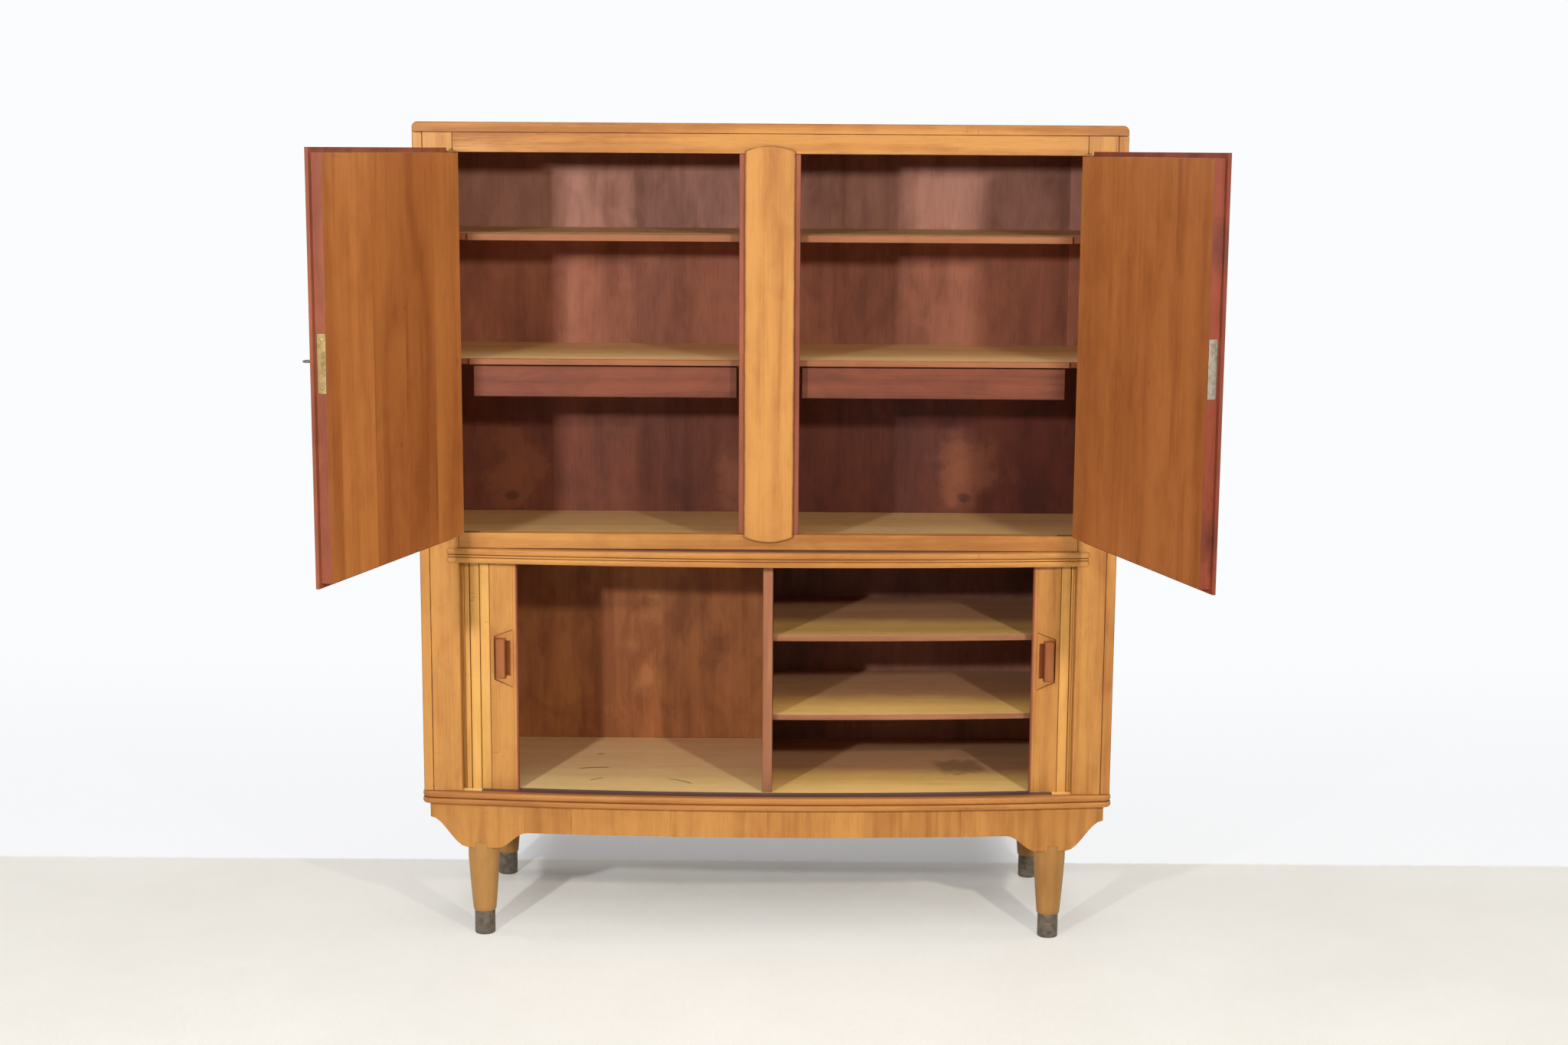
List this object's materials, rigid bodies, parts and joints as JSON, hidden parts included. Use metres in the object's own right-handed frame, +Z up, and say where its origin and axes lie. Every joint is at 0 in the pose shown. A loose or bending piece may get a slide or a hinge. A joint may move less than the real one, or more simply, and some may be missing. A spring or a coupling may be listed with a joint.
{
  "type": "buffet cabinet",
  "caption": "Tall buffet cabinet: flat upper part with hinged doors, shelves and hung drawers over a bowed lower part with sliding tambour shutters, on tapered legs.",
  "frame": {"origin": "on the floor under the middle of the whole object with its doors open as at rest", "axes": "+X to the cabinet's right seen from the front, +Y from front to back, +Z up"},
  "size_m": [1.3799, 0.8784, 1.42],
  "materials": {
    "teak": "oiled golden teak",
    "red_teak": "unfaded red-brown teak",
    "pale_wood": "pale varnished wood",
    "back_wood": "dark veneered ply",
    "leg_wood": "tan varnished wood",
    "ferrule": "dark patina",
    "brass": "aged brass"
  },
  "bodies": {
    "carcass": {"top_panel": "teak", "left_side_panel": "teak", "right_side_panel": "teak", "left_frame_stile": "teak", "right_frame_stile": "teak", "top_rail": "teak", "middle_rail": "teak", "centre_post": "teak", "centre_stile": "teak", "pelmet": "teak", "base_moulding": "teak", "front_apron": "teak", "left_side_apron": "teak", "right_side_apron": "teak", "left_shutter_curtain": "teak", "right_shutter_curtain": "teak", "upper_partition": "red_teak", "lower_divider": "red_teak", "middle_board": "pale_wood", "bottom_board": "pale_wood", "left_upper_shelf": "pale_wood", "right_upper_shelf": "pale_wood", "left_drawer_shelf": "pale_wood", "right_drawer_shelf": "pale_wood", "lower_shelf_high": "pale_wood", "lower_shelf_low": "pale_wood", "back_panel": "back_wood", "left_pocket_liner": "back_wood", "right_pocket_liner": "back_wood", "front_left_leg": "leg_wood", "front_right_leg": "leg_wood", "back_left_leg": "leg_wood", "back_right_leg": "leg_wood", "front_left_ferrule": "ferrule", "front_right_ferrule": "ferrule", "back_left_ferrule": "ferrule", "back_right_ferrule": "ferrule", "left_upper_hinge_frame_leaf": "brass", "left_lower_hinge_frame_leaf": "brass", "right_upper_hinge_frame_leaf": "brass", "right_lower_hinge_frame_leaf": "brass"},
    "left_door": {"left_door": "teak", "left_lock": "brass", "left_upper_hinge_door_leaf": "brass", "left_lower_hinge_door_leaf": "brass"},
    "right_door": {"right_door": "teak", "right_lock": "brass", "right_upper_hinge_door_leaf": "brass", "right_lower_hinge_door_leaf": "brass"},
    "left_key": {"left_key": "brass"},
    "left_bolt": {"left_lock_bolt": "brass"},
    "right_bolt": {"right_lock_bolt": "brass"},
    "left_drawer": {"left_drawer_front": "red_teak", "left_drawer_tray": "pale_wood"},
    "right_drawer": {"right_drawer_front": "red_teak", "right_drawer_tray": "pale_wood"},
    "left_shutter": {"left_shutter_leader": "teak", "left_shutter_slats": "teak"},
    "right_shutter": {"right_shutter_leader": "teak", "right_shutter_slats": "teak"}
  },
  "joints": [
    {"name": "left_door_swing", "type": "hinge", "parent": "carcass", "child": "left_door", "pos_m": [-0.54, 0.03787, 1.047], "axis": [0, 0, -1], "range_deg": [-106.4, 63.6]},
    {"name": "right_door_swing", "type": "hinge", "parent": "carcass", "child": "right_door", "pos_m": [0.54, 0.03787, 1.047], "axis": [0, 0, 1], "range_deg": [-106.4, 63.6]},
    {"name": "left_drawer_slide", "type": "slide", "parent": "carcass", "child": "left_drawer", "axis": [0, -1, 0], "range_m": [0, 0.26]},
    {"name": "right_drawer_slide", "type": "slide", "parent": "carcass", "child": "right_drawer", "axis": [0, -1, 0], "range_m": [0, 0.26]},
    {"name": "left_shutter_run", "type": "hinge", "parent": "carcass", "child": "left_shutter", "pos_m": [0, 4.73535, 0.4725], "axis": [0, 0, -1], "range_deg": [-5.31, 0.67], "deforming": ["left_shutter_curtain"]},
    {"name": "right_shutter_run", "type": "hinge", "parent": "carcass", "child": "right_shutter", "pos_m": [0, 4.73535, 0.4725], "axis": [0, 0, 1], "range_deg": [-5.61, 0.37], "deforming": ["right_shutter_curtain"]},
    {"name": "left_key_turn", "type": "hinge", "parent": "left_door", "child": "left_key", "pos_m": [-0.66889, -0.40006, 1.058], "axis": [-0.9593, 0.2823, 0], "range_deg": [0, 90]},
    {"name": "left_bolt_throw", "type": "slide", "parent": "left_door", "child": "left_bolt", "axis": [-0.2823, -0.9593, 0], "range_m": [0, 0.008]},
    {"name": "right_bolt_throw", "type": "slide", "parent": "right_door", "child": "right_bolt", "axis": [0.2823, -0.9593, 0], "range_m": [0, 0.008]}
  ],
  "couplings": [
    {"joint": "left_key_turn", "follows": "left_bolt_throw", "rad_per_m": 196.34}
  ]
}
